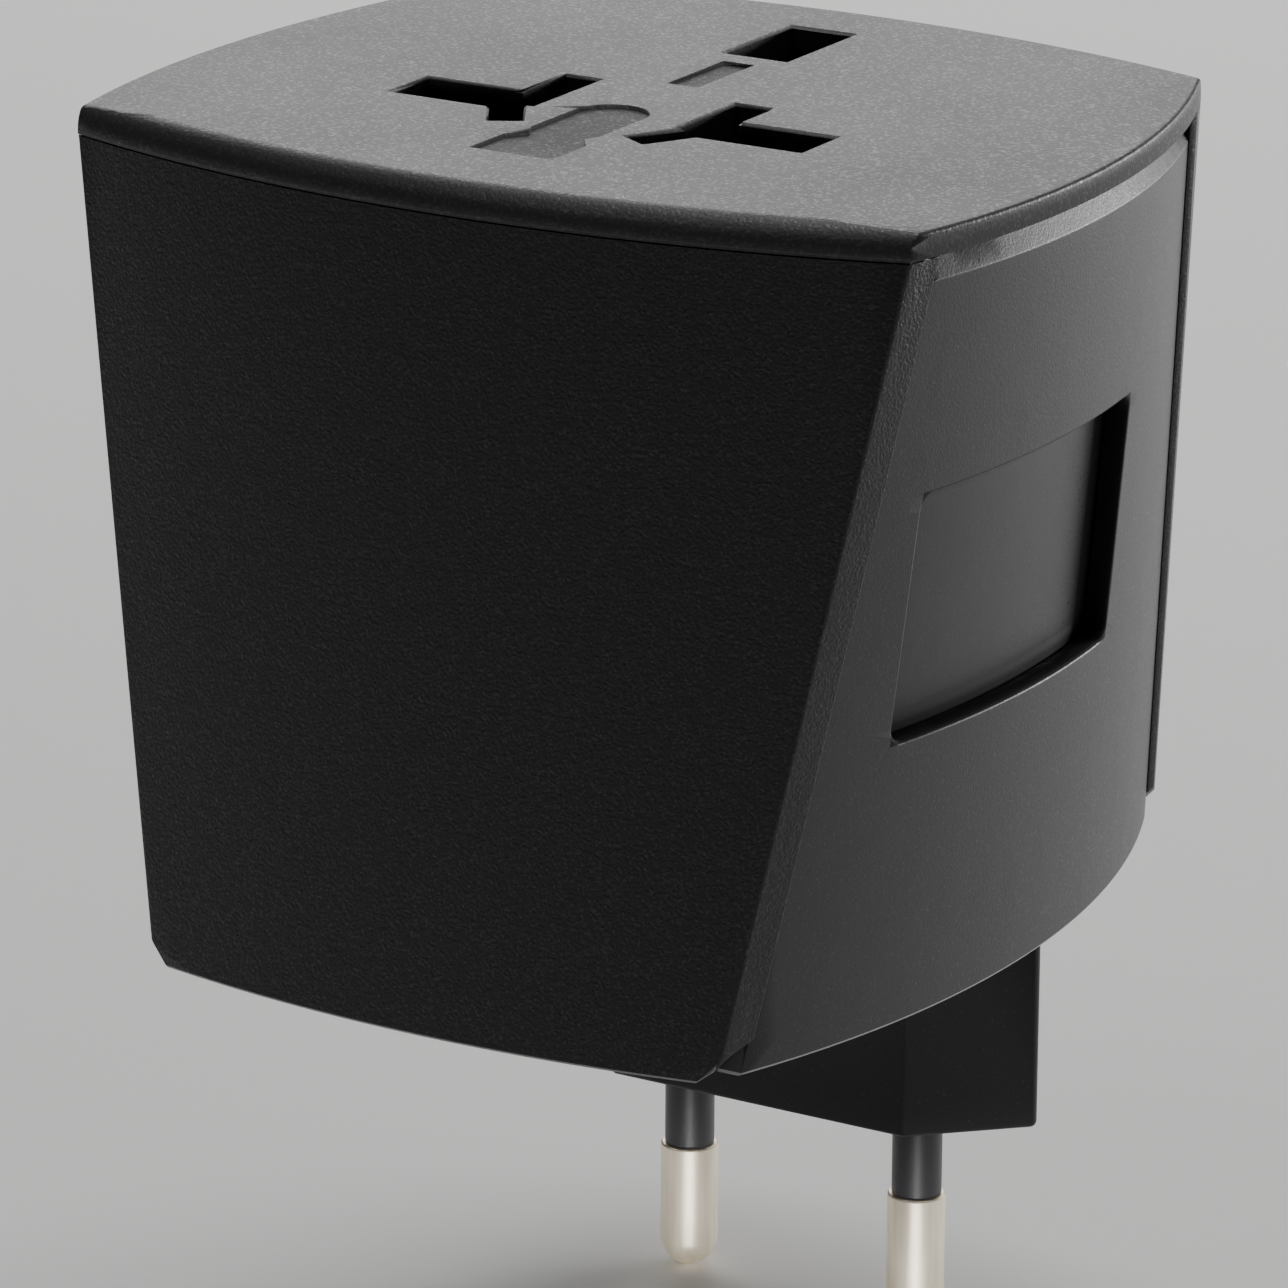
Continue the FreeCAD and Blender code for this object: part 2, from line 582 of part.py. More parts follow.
def inner_chassis():
    x0, x1, half, floor = POCKET
    tail_half = BUS_W / 2 + SLIDE_GAP
    pocket = box(x0, x1, -half, half, floor, OVER)
    tail = box(BUS_X - tail_half, BUS_X + tail_half, 0, WALL_Y[1] + OVER, floor, floor + 2 * CONTACT_T)
    fuse_half, fuse_side, fuse_floor = FUSE_POCKET
    fuse_room = box(-fuse_half, fuse_half, FUSE_Y - fuse_side, FUSE_Y + fuse_side, fuse_floor, OVER)
    bore_top = -BODY_H + SCREW_L + CONTACT_T
    bores = [rod(s * x, y, SCREW_R, SEAT - OVER, bore_top) for x, y, r in POSTS for s in (1, -1)]
    return cut(chassis_blank(), plug_room(), fuse_room, *both_sides(pocket), *both_sides(tail), *bores)


def contact_right():
    """Spring contact of one pole: a web, two long leaves, a blade leaf and a tail to the busbar."""
    x0, x1, pocket_half, floor = POCKET
    low = floor + SLIDE_GAP
    x_in, x_out = x0 + 2 * SLIDE_GAP, x1 - 2 * SLIDE_GAP
    reach = CONTACT_GRIP + CONTACT_T
    web = box(x_in, x_out, -reach, reach, low, low + CONTACT_T)
    leaf_x = ROUND_SLOT[0] + CONTACT_T
    leaves = [box(leaf_x, x_out, CONTACT_GRIP, reach, low, CONTACT_TOP),
              box(leaf_x, x_out, -reach, -CONTACT_GRIP, low, CONTACT_TOP),
              box(x_in, x_in + CONTACT_T, -reach, reach, low, CONTACT_TOP)]
    tail = box(BUS_X - BUS_W / 2, BUS_X + BUS_W / 2, 0, BUS_Y + CONTACT_T, low, low + CONTACT_T)
    return fused([web, tail] + leaves)


def busbar_right():
    x0, x1 = BUS_X - BUS_W / 2, BUS_X + BUS_W / 2
    return box(x0, x1, BUS_Y, BUS_Y + CONTACT_T, SEAT + CONTACT_T, POCKET[3] + SLIDE_GAP)


def along_x(r, x0, x1):
    return Part.makeCylinder(r, x1 - x0, Vector(x0, FUSE_Y, FUSE_Z), Vector(1, 0, 0))


def fuse_body():
    half = FUSE_L / 2
    step = half - FUSE_CAP[1]
    neck = FUSE_R - FUSE_NECK
    return fused([along_x(FUSE_R, -step, step), along_x(neck, -half + FUSE_NECK, half - FUSE_NECK)])


def fuse_caps():
    half = FUSE_L / 2
    cap = along_x(FUSE_CAP[0], half - FUSE_CAP[1], half)
    return Part.makeCompound(both_sides(cap.cut(along_x(FUSE_R - FUSE_NECK, 0, half - FUSE_NECK))))


def fuse_clips():
    """Two open clips that hold the fuse by its caps."""
    gap, thick, width, height = FUSE_CLIP
    r = FUSE_CAP[0] + gap
    x0 = (FUSE_L - FUSE_CAP[1] - width) / 2
    ring = along_x(r + thick, x0, x0 + width).cut(along_x(r, x0 - OVER, x0 + width + OVER))
    above = box(0, REACH, FUSE_Y - OVER, FUSE_Y + OVER, FUSE_Z + height, FUSE_Z + REACH)
    return Part.makeCompound(both_sides(ring.cut(above)))


def bow(a, b, apex, z0, z1):
    """Leaf spring bowed in plan from a to b through apex."""
    x, y, r = circle_through(a, apex, b)
    inner = [(x + (p[0] - x) * (r - LEAF_T) / r, y + (p[1] - y) * (r - LEAF_T) / r) for p in (b, apex, a)]
    edges = [Part.Arc(*(Vector(*p, z0) for p in run)).toShape() for run in ((a, apex, b), inner)]
    ends = [Part.makeLine(Vector(*p, z0), Vector(*q, z0)) for p, q in ((b, inner[0]), (inner[2], a))]
    return Part.Face(Part.Wire([edges[0], ends[0], edges[1], ends[1]])).extrude(Vector(0, 0, z1 - z0))


def safety_shutter():
    """Sliding plate that closes the line and neutral slots; its windows slide under them."""
    plate = box(-SHUTTER_X, SHUTTER_X, *SHUTTER_Y, SHUTTER_TOP - SHUTTER_T, SHUTTER_TOP)
    half = ROUND_SLOT[2] + SEAM
    x0, x1 = BLADE_SLOT[0] - 2 * SLIDE_GAP, ROUND_SLOT[1] + SLIDE_GAP
    edge = SHUTTER_TRAVEL - half
    length, drop = SHUTTER_RAMP
    window = box(x0, x1, edge, SHUTTER_TRAVEL + half, SHUTTER_TOP - OVER, OVER)
    slope = [(edge - length, SHUTTER_TOP), (edge, SHUTTER_TOP), (edge, SHUTTER_TOP - drop)]
    ramp = prism_along_x(slope, x0, x1)
    return cut(plate, *both_sides(window), *both_sides(ramp))


def shutter_spring():
    top = SHUTTER_TOP - SEAM
    seat = STOP_Y[1] + LEAF_T + LEAF_SEAT
    ends = (-SHUTTER_SPRING, seat), (SHUTTER_SPRING, seat)
    return bow(*ends, (0, SHUTTER_Y[0] - LEAF_SEAT), top - SPRING_H, top)


# ---- press plates ------------------------------------------------------------------------------
def press_plate_right():
    plate = form(WALL + PLATE_GAP).cut(form(WALL + PLATE_GAP + PLATE_T))
    y0, y1 = WINDOW_Y
    z0, z1 = WINDOW_Z
    return plate.common(box(0, REACH, y0 - PLATE_LAP, y1 + PLATE_LAP, z0 - PLATE_LAP, z1 + PLATE_LAP))


def plate_back_x(y, z):
    """Where the back of the right press plate lies at a height z."""
    level = form(WALL + PLATE_GAP + PLATE_T).common(box(0, REACH, y, y + SEAM, z, z + SEAM))
    return min(v.X for v in level.Vertexes if v.X > 1)


def plate_spring_right():
    y, z = sum(WINDOW_Y) / 2, sum(WINDOW_Z) / 2
    z0, z1 = z - LEAF_W / 2, z + LEAF_W / 2
    x = WEB_X[1] + LEAF_T + LEAF_SEAT
    ends = (x, y + PLATE_SPRING), (x, y - PLATE_SPRING)
    return bow(*ends, (plate_back_x(y, z0) - SLIDE_GAP, y), z0, z1)


# ---- European plug -----------------------------------------------------------------------------
def eu_pin_right():
    tip = EU_FACE - EU_SLEEVE - EU_METAL
    bare = rod(EU_PIN_X, EU_Y, EU_PIN_R, tip + EU_PIN_R, EU_FACE - EU_SLEEVE)
    nose = Part.makeSphere(EU_PIN_R, Vector(EU_PIN_X, EU_Y, tip + EU_PIN_R))
    neck = rod(EU_PIN_X, EU_Y, EU_NECK_R, EU_FACE - EU_SLEEVE, EU_FACE + EU_ROOT)
    return fused([bare, nose, neck])


def eu_sleeve_right():
    outer = rod(EU_PIN_X, EU_Y, EU_SLEEVE_R, EU_FACE - EU_SLEEVE, EU_FACE + EU_SEAT)
    return outer.cut(rod(EU_PIN_X, EU_Y, EU_NECK_R, EU_FACE - REACH, EU_FACE + REACH))


def eu_plug_block():
    block = prism(hexagon(0), EU_FACE, EU_SHOULDER)
    block = round_edges(block, EU_EDGE, lambda e: at_level(e, EU_FACE) or upright(e))
    half, thick = CROSSHEAD
    head = box(-half, half, EU_Y - thick, EU_Y + thick, EU_SHOULDER, EU_TOP)
    w, depth, wall = EARTH_NOTCH
    notch = box(-w / 2, w / 2, EU_Y - EU_THICK - OVER, EU_Y + wall, EU_TOP - depth, EU_TOP + OVER)
    necks = both_sides(rod(EU_PIN_X, EU_Y, EU_NECK_R, EU_FACE - OVER, EU_FACE + EU_ROOT))
    seats = both_sides(rod(EU_PIN_X, EU_Y, EU_SLEEVE_R, EU_FACE - OVER, EU_FACE + EU_SEAT))
    return cut(fused([block, head]), notch, *necks, *seats)


def eu_wiper_right():
    """Sprung strip that takes current from a busbar to a pin."""
    foot, rise, tongue = WIPER_STEPS
    y0 = BUS_Y + CONTACT_T + LEAF_SEAT
    y1 = EU_Y - CROSSHEAD[1]
    z0, z1 = EU_SHOULDER + foot, EU_SHOULDER + rise
    x0, x1 = BUS_X - WIPER / 2, BUS_X + WIPER / 2
    return fused([box(x0, x1, y1 - LEAF_T, y1, z0, z1), box(x0, x1, y0, y1, z1 - LEAF_T, z1),
                  box(x0, x1, y0, y0 + LEAF_T, z1 - tongue, z1)])


def knob(x, z, stem_from):
    """Slider knob with grip ribs, outside its track, and the stem that joins it to its carriage."""
    w, h, t = KNOB
    y0 = TRACK_FLOOR + KNOB_LIFT
    rib, rib_h, pitch = KNOB_RIB
    side = w / 2 - KNOB_EDGE - SEAM
    plate = box(x - w / 2, x + w / 2, y0, y0 + t, z - h / 2, z + h / 2)
    plate = round_edges(plate, KNOB_EDGE, lambda e: e.BoundBox.XLength < 0.001 and e.BoundBox.ZLength < 0.001)
    ribs = [box(x - side, x + side, y0 + t, y0 + t + rib_h, z + k * pitch - rib / 2, z + k * pitch + rib / 2)
            for k in (-1, 0, 1)]
    stem = box(x - STEM[0] / 2, x + STEM[0] / 2, stem_from, y0 + SEAM, z - STEM[1] / 2, z + STEM[1] / 2)
    return fused([plate, stem] + ribs)


# ---- British plug ------------------------------------------------------------------------------
def arm(y_from, z0, z1):
    """Arm that leads round the right side of the European block to its knob."""
    x0, x1 = ARM_X
    half = (x1 - x0) / 2
    slope = EU_THICK / (EU_HALF - EU_FLAT)
    turn = EU_Y + x0 - EU_HALF
    inner_x, outer_x = KNOB_X - STEM[0] / 2 - SEAM, KNOB_X + STEM[0] / 2 + SEAM
    points = [(x0, y_from), (x1, y_from), (x1, turn + half), (outer_x, turn + half + (x1 - outer_x) * slope),
              (outer_x, ARM_END), (inner_x, ARM_END), (inner_x, turn + (x0 - inner_x) * slope), (x0, turn)]
    return prism(points, z0, z1)


def uk_live_pin():
    x, w, t = UK_SPACING / 2, UK_PIN[0] / 2, UK_PIN[1] / 2
    tip, neck_end = UK_PLATE - UK_LIVE_OUT, UK_PLATE - UK_SLEEVE
    bare = around(x, UK_Y, w, t, tip, neck_end)
    bare = bevel_edges(bare, UK_BEVEL[0], lambda e: at_level(e, tip))
    return fused([bare, around(x, UK_Y, w - UK_SLEEVE_T, t - UK_SLEEVE_T, neck_end, UK_UNDER + UK_ROOT)])


def uk_sleeves():
    x, w, t = UK_SPACING / 2, UK_PIN[0] / 2, UK_PIN[1] / 2
    sleeve = around(x, UK_Y, w, t, UK_PLATE - UK_SLEEVE, UK_UNDER)
    bore = around(x, UK_Y, w - UK_SLEEVE_T, t - UK_SLEEVE_T, UK_PLATE - REACH, UK_UNDER + REACH)
    return Part.makeCompound(both_sides(sleeve.cut(bore)))


def uk_earth_pin():
    tip = UK_PLATE - UK_EARTH_OUT
    pin = around(0, UK_EARTH_Y, UK_EARTH[0] / 2, UK_EARTH[1] / 2, tip, UK_UNDER + UK_ROOT)
    return bevel_edges(pin, UK_BEVEL[1], lambda e: at_level(e, tip))


def uk_carriage():
    z0, z1 = UK_UNDER, UK_ABOVE
    front = box(-UK_BAR_X, UK_BAR_X, *UK_BAR_Y, z0, z1)
    rail = box(UK_RAIL_X, UK_BAR_X, UK_BAR_Y[0], UK_BACK_Y[1], z0, z1)
    back = box(UK_BACK_X, ARM_X[1], *UK_BACK_Y, z0, z1)
    lead = arm(UK_BACK_Y[1] - ARM_IN, z0 + ARM_IN, z1 - ARM_IN)
    return cut(fused([front, rail, back, lead]), *both_sides(uk_live_pin()), uk_earth_pin())


# ---- American and Australian plug --------------------------------------------------------------
def us_blade_right():
    w, length, out = US_BLADE
    tip = US_TURRET_UNDER - out
    blade = around(US_X, US_Y + US_OFFSET, w / 2, length / 2, tip, US_TURRET_UNDER + US_ROOT)
    return bevel_edges(blade, US_BEVEL, lambda e: at_level(e, tip) and e.BoundBox.YLength > w)


def us_turret_right():
    z1, z2 = US_TURRET_UNDER + US_TURRET_T, US_ABOVE + LEVEL_GAP
    disc = rod(US_X, US_Y, US_TURRET_R, US_TURRET_UNDER, z1)
    stub = rod(US_X, US_Y, US_STUB_R, z1, z2)
    head = rod(US_X, US_Y, US_HEAD_R, z2, z2 + US_HEAD_T)
    return fused([disc, stub, head]).cut(us_blade_right())


def us_carriage():
    z0, z1 = US_UNDER, US_ABOVE
    base = box(-US_BASE_X, US_BASE_X, *US_BASE_Y, z0, z1)
    bridge = box(-ARM_X[1], -US_BASE_X, *US_ARM_Y, z0, z1)
    lead = mirrored(arm(US_ARM_Y[0], z0 + ARM_IN, z1 - ARM_IN))
    bores = both_sides(rod(US_X, US_Y, US_STUB_R + RUNNING, z0 - OVER, z1 + OVER))
    return cut(fused([base, bridge, lead]), *bores)


# ---- write every piece -------------------------------------------------------------------------
def main():
    os.makedirs("parts", exist_ok=True)
    head_back = EU_Y + CROSSHEAD[1]
    pieces = {
        "top_cap": top_cap(),
        "front_cover": front_cover(),
        "back_cover": back_cover(),
        "bottom_plate": bottom_plate(),
        "housing_screws": housing_screws(),
        "inner_chassis": inner_chassis(),
        "fuse_body": fuse_body(),
        "fuse_caps": fuse_caps(),
        "fuse_clips": fuse_clips(),
        "safety_shutter": safety_shutter(),
        "shutter_spring": shutter_spring(),
        "eu_plug_block": eu_plug_block(),
        "eu_slide_knob": knob(0, EU_KNOB_Z, head_back),
        "uk_carriage": uk_carriage(),
        "uk_pin_sleeves": uk_sleeves(),
        "uk_earth_pin": uk_earth_pin(),
        "uk_slide_knob": knob(KNOB_X, UK_KNOB_Z, ARM_END),
        "us_carriage": us_carriage(),
        "us_slide_knob": knob(-KNOB_X, US_KNOB_Z, ARM_END),
    }
    mirrored_pairs = {
        "side_panel": side_panel_right(),
        "press_plate": press_plate_right(),
        "plate_spring": plate_spring_right(),
        "eu_pin": eu_pin_right(),
        "eu_pin_sleeve": eu_sleeve_right(),
        "eu_wiper": eu_wiper_right(),
        "us_blade": us_blade_right(),
        "us_turret": us_turret_right(),
    }
    for name, shape in mirrored_pairs.items():
        pieces[name + "_right"] = shape
        pieces[name + "_left"] = mirrored(shape)
    poles = {"contact": contact_right(), "busbar": busbar_right(), "uk_pin": uk_live_pin()}
    for name, shape in poles.items():
        pieces[name + "_line"] = shape
        pieces[name + "_neutral"] = mirrored(shape)
    for name, shape in pieces.items():
        write(name, shape)


main()
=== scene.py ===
import json
import math

import bmesh
import bpy
from bpy.props import FloatProperty, FloatVectorProperty, PointerProperty
from mathutils import Matrix, Quaternion, Vector


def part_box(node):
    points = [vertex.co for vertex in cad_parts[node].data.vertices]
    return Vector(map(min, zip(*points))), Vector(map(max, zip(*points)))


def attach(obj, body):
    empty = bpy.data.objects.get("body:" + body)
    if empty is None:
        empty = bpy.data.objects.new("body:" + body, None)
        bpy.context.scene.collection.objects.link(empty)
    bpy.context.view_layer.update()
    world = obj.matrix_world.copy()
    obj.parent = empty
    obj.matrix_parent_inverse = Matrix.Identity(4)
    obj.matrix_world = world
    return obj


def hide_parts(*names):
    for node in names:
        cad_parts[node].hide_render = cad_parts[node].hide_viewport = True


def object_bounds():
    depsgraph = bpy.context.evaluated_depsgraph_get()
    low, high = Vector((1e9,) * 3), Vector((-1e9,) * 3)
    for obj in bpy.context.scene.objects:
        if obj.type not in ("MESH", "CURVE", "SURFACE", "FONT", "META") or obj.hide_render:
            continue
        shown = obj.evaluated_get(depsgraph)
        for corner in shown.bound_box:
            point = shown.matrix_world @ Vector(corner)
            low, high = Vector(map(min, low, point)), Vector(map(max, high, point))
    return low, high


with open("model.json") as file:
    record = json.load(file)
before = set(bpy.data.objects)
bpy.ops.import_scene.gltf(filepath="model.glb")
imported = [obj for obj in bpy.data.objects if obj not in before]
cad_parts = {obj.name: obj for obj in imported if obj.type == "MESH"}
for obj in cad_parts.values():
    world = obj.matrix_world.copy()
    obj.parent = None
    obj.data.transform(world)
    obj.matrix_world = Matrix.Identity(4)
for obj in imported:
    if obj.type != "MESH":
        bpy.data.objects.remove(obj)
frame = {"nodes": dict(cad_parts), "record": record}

bl_info = {
    "name": "Universal Travel Adapter",
    "version": (1, 0, 0),
    "blender": (4, 5, 0),
    "location": "3D View > Sidebar > Adapter",
    "description": "Finishes the pieces of a universal travel adapter and sets its studio",
    "category": "Object",
}

CAD_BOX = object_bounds()
BODY_OF = {node: body for body, nodes in frame["record"]["behaviour"]["bodies"].items() for node in nodes}
SLOT_OF = {row["node"]: row["material_slot"] for row in frame["record"]["subparts"]}
COLOUR_OF = {row["slot"]: row["base_color"] for row in frame["record"]["materials"]}

MM = 0.001
MERGE = 0.002 * MM           # corners of neighbouring CAD triangles lie closer than this
FLAT = math.radians(0.05)    # faces that turn less than this are one flat face
CREASE = math.radians(35)    # edges that turn more than this get a rounded edge
TURNS = 72                   # facets round a turned piece
WINDOW_LAP = 1.2 * MM        # a press plate is this much larger than its window
RECESS = (                   # space of the shallow recesses: low and high along each axis
    (-8 * MM, 8 * MM),
    (-13 * MM, 17 * MM),
    (-0.35 * MM, -0.08 * MM),
)
PIN_NECK_STEP = 0.65 * MM    # the neck inside a sleeve has a radius this much less than the bare pin
SLEEVE_WALL = 0.37 * MM      # thickness of a pin sleeve
RECESS_SHADE = 0.35          # how far painted shade takes the recess floors towards a dark tone
SHADE_TONE = 0.12           # share of a plastic's colour that is left where shade is painted
RIM_HIGHLIGHT_TONE = (0.5, 0.5, 0.5, 1)   # colour of the painted highlight along the housing's lower edge
WARM_TINT = (1.0, 0.94, 0.80)    # makes the nickel plate warmer than its base colour


# ---- settings -----------------------------------------------------------------------------
def colour_setting(slot, label):
    return FloatVectorProperty(name=label, description=label + " base colour", subtype="COLOR",
                               size=3, min=0, max=1, default=COLOUR_OF[slot][:3])


class ADAPTER_PG_plastic(bpy.types.PropertyGroup):
    """Moulded plastic: colours, grain and rounding of edges."""

    cap: colour_setting("cap_plastic", "Top cap")
    cover: colour_setting("cover_plastic", "Front and back cover")
    panel: colour_setting("panel_plastic", "Side panels")
    press_plate: colour_setting("press_plate_plastic", "Press plates")
    base: colour_setting("base_plastic", "Bottom plate")
    inner: colour_setting("inner_plastic", "Chassis and shutter")
    plug: colour_setting("plug_plastic", "European plug block")
    carriage: colour_setting("carriage_plastic", "Plug carriages")
    knob: colour_setting("knob_plastic", "Slider knobs")
    sleeve: colour_setting("sleeve_plastic", "Pin sleeves")
    edge: FloatProperty(name="Edge rounding", description="Rounding of moulded edges", unit="LENGTH",
                        default=0.12 * MM, min=0.01 * MM, max=0.5 * MM)
    grain: FloatProperty(name="Grain size", description="Size of one speck of the moulded grain",
                         unit="LENGTH", default=0.24 * MM, min=0.05 * MM, max=2 * MM)
    grain_depth: FloatProperty(name="Grain depth", description="Depth of the moulded grain", unit="LENGTH",
                               default=0.04 * MM, min=0, max=0.2 * MM)


class ADAPTER_PG_metal(bpy.types.PropertyGroup):
    """Metal and ceramic: colours, edge rounding and turning marks."""

    nickel: colour_setting("nickel", "Nickel plate")
    brass: colour_setting("contact_brass", "Contact brass")
    steel: colour_setting("spring_steel", "Spring steel")
    ceramic: colour_setting("ceramic", "Fuse ceramic")
    edge: FloatProperty(name="Edge rounding", description="Rounding of stamped edges", unit="LENGTH",
                        default=0.06 * MM, min=0.01 * MM, max=0.3 * MM)
    mark: FloatProperty(name="Mark width", description="Width of one fine mark in the plating",
                        unit="LENGTH", default=0.5 * MM, min=0.05 * MM, max=5 * MM)
    mark_depth: FloatProperty(name="Mark depth", description="Depth of the marks in the plating",
                              unit="LENGTH", default=0.012 * MM, min=0, max=0.1 * MM)


class ADAPTER_PG_stage(bpy.types.PropertyGroup):
    """Floor, lights and camera."""

    floor_colour: FloatVectorProperty(name="Floor", description="Floor colour", subtype="COLOR", size=3,
                                      min=0, max=1, default=(0.80, 0.80, 0.79))
    floor_size: FloatProperty(name="Floor size", description="Side of the square floor", unit="LENGTH",
                              default=2.4, min=0.5, max=20)
    sky: FloatProperty(name="Sky", description="Brightness of the even surroundings", default=0.04,
                       min=0, max=5)
    power: FloatProperty(name="Light power", description="Factor on every lamp's power", default=1.0,
                         min=0, max=20)
    azimuth: FloatProperty(name="Azimuth", description="Camera's turn to the right of the front",
                           subtype="ANGLE", default=math.radians(30.55))
    elevation: FloatProperty(name="Elevation", description="Camera's height as an angle", subtype="ANGLE",
                             default=math.radians(18.43))
    roll: FloatProperty(name="Roll", description="Camera's turn about its own axis", subtype="ANGLE",
                        default=math.radians(0.34))
    distance: FloatProperty(name="Distance", description="Camera to the point that it looks at",
                            unit="LENGTH", default=0.454, min=0.1, max=5)
    target: FloatVectorProperty(name="Target", description="Point that the camera looks at",
                                subtype="TRANSLATION", size=3, default=(0.0185, -0.0234, -0.030))
    lens: FloatProperty(name="Lens", description="Focal length in millimetres", default=210.4, min=20,
                        max=500)
    shift: FloatVectorProperty(name="Shift", description="Sideways and upward shift of the frame", size=2,
                               default=(-0.0215, 0.0560))


# ---- shaders ------------------------------------------------------------------------------
class Value:
    """A number that changes over a surface. Arithmetic on it adds Math nodes."""

    def __init__(self, shader, socket):
        self.shader, self.socket = shader, socket

    def maths(self, operation, first, second):
        return self.shader.node("ShaderNodeMath", {"operation": operation}, {0: first, 1: second})

    def __add__(self, other):
        return self.maths("ADD", self, other)

    def __sub__(self, other):
        return self.maths("SUBTRACT", self, other)

    def __rsub__(self, other):
        return self.maths("SUBTRACT", other, self)

    def __mul__(self, other):
        return self.maths("MULTIPLY", self, other)

    def __gt__(self, other):
        return self.maths("GREATER_THAN", self, other)

    def __lt__(self, other):
        return self.maths("LESS_THAN", self, other)

    def __abs__(self):
        return self.maths("ABSOLUTE", self, 0.0)

    def clamped(self):
        """The same number, held between 0 and 1."""
        return self.shader.node("ShaderNodeClamp", {}, {"Value": self})

    __radd__, __rmul__ = __add__, __mul__


class Shader:
    """One material made of nodes."""

    def __init__(self, name):
        self.material = bpy.data.materials.new(name)
        self.material.use_nodes = True
        self.tree = self.material.node_tree
        self.surface = self.tree.nodes["Principled BSDF"]
        self.place = self.node("ShaderNodeTexCoord", {}, {}, "Object")

    def node(self, kind, settings, inputs, output=0):
        """Adds a node of any kind with its settings and inputs, and returns one output."""
        made = self.tree.nodes.new(kind)
        for name, value in settings.items():
            if name == "stops":
                self.fill_ramp(made.color_ramp, value)
            else:
                setattr(made, name, value)
        for key, value in inputs.items():
            self.feed(made.inputs[key], value)
        return Value(self, made.outputs[output])

    def fill_ramp(self, ramp, stops):
        while len(ramp.elements) < len(stops):
            ramp.elements.new(1.0)
        for element, (position, level) in zip(ramp.elements, stops):
            element.position = position
            element.color = (level, level, level, 1)

    def feed(self, socket, value):
        if isinstance(value, Value):
            self.tree.links.new(value.socket, socket)
        else:
            socket.default_value = value

    def set(self, **inputs):
        """Feeds inputs of the surface shader; Base_Color stands for Base Color."""
        for name, value in inputs.items():
            self.feed(self.surface.inputs[name.replace("_", " ")], value)

    def noise(self, size, detail=2.0, stretch=(1, 1, 1)):
        """Soft random pattern with features about size across."""
        where = self.node("ShaderNodeMapping", {}, {"Vector": self.place, "Scale": stretch})
        return self.node("ShaderNodeTexNoise", {}, {"Vector": where, "Scale": 1 / size, "Detail": detail})

    def cells(self, size):
        """A random number for each small cell of the surface."""
        colour = self.node("ShaderNodeTexVoronoi", {}, {"Vector": self.place, "Scale": 1 / size}, "Color")
        return self.node("ShaderNodeSeparateColor", {}, {"Color": colour})

    def along(self, axis):
        """Place on the object along an axis: 0, 1 or 2."""
        return self.node("ShaderNodeSeparateXYZ", {}, {"Vector": self.place}, axis)

    def ramp(self, factor, stops):
        return self.node("ShaderNodeValToRGB", {"stops": stops}, {"Fac": factor})

    def mix(self, factor, first, second):
        """Blend of two colours."""
        settings = {"data_type": "RGBA"}
        return self.node("ShaderNodeMix", settings, {"Factor": factor, 6: first, 7: second}, 2)

    def bump(self, height, depth):
        inputs = {"Height": height, "Distance": depth, "Strength": 1.0}
        return self.node("ShaderNodeBump", {}, inputs, "Normal")


def rgba(colour, gain=1.0):
    return (*(min(1.0, c * gain) for c in colour[:3]), 1)


def recess_floor_shade(shader):
    """Mask of painted shade: RECESS_SHADE on the floors of the socket face's shallow recesses, 0 elsewhere.
    """
    mask = RECESS_SHADE
    for axis, (low, high) in enumerate(RECESS):
        along = shader.along(axis)
        mask = mask * (along > low) * (along < high)
    return mask


def past_window(shader, inset, fade):
    """Two masks, across and up, that rise to 1 over fade, from inset inside the windows' border."""
    low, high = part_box("press_plate_right")
    masks = []
    for axis in (1, 2):
        centre, half = (low[axis] + high[axis]) / 2, (high[axis] - low[axis]) / 2 - WINDOW_LAP
        distance = abs(shader.along(axis) - centre)
        masks.append(((distance - (half - inset)) * (1 / fade)).clamped())
    return masks


def window_wall_shade(shader):
    """Mask of painted shade: 1 on the walls of a side panel's window, 0 outside it."""
    across, up = past_window(shader, -0.10 * MM, 0.04 * MM)
    return (1 - across) * (1 - up)


def plate_border_shadow(shader):
    """Mask of the painted shadow cast by the window's edge: 1 at the border of the visible part of a press
    plate, 0 in its middle.
    """
    across, up = past_window(shader, 1.3 * MM, 0.9 * MM)
    return 1 - (1 - across) * (1 - up)


def lower_edge_highlight(shader):
    """Mask of the painted highlight: 1 on the rounded lower edges of the housing, 0 above them."""
    return shader.along(2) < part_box("side_panel_right")[0].z + 0.2 * MM


def moulded(name, colour, rough, grain=1.0, depth=1.0, fleck=0.0, gloss=0.5, glint_gain=2.2,
            painted_shade=None, rim=0.0):
    """Textured thermoplastic: fine eroded grain, bright specks painted in for its glints, and slow changes
    of gloss.

    grain and depth scale the size and the depth of the grain. fleck is the share of bright specks, which
    are painted glints of the grain, and sparkle is how much brighter they are. dull gives a mask of painted
    shade in hollows, darkened and made rougher. rim is how strong the painted highlight on the housing's
    lower edge is.
    """
    settings = bpy.context.scene.adapter_plastic
    shader = Shader(name)
    size = settings.grain * grain
    fine = shader.noise(size, 3.0)
    slow = shader.noise(16 * MM, 3.0)
    # bright specks: painted glints of the grain, mixed into the colour below and made less rough
    specks = shader.cells(size * 0.7) > (1 - fleck)
    tone = shader.mix(slow, rgba(colour, 0.88), rgba(colour, 1.14))
    tone = shader.mix(specks * (0.35 + 0.65 * fine), tone, rgba(colour, glint_gain))
    matt = rough - 0.05 + 0.10 * slow + 0.08 * fine - 0.12 * specks
    # painted shade: the masked hollows are darkened towards a dark tone, and made rougher
    if painted_shade:
        shade_mask = painted_shade(shader)
        tone = shader.mix(shade_mask, tone, rgba(colour, SHADE_TONE))
        matt = matt + 0.45 * shade_mask
    # painted highlight: a light grey line along the housing's lower edge, also made less rough
    if rim:
        rim_lit = lower_edge_highlight(shader) * rim
        tone = shader.mix(rim_lit, tone, RIM_HIGHLIGHT_TONE)
        matt = matt - 0.15 * rim_lit
    shader.set(Base_Color=tone, Roughness=matt)
    relief = fine + 0.35 * shader.noise(size * 2.6, 2.0)
    shader.set(Normal=shader.bump(relief, settings.grain_depth * depth))
    shader.surface.inputs["Specular IOR Level"].default_value = gloss
    return shader.material


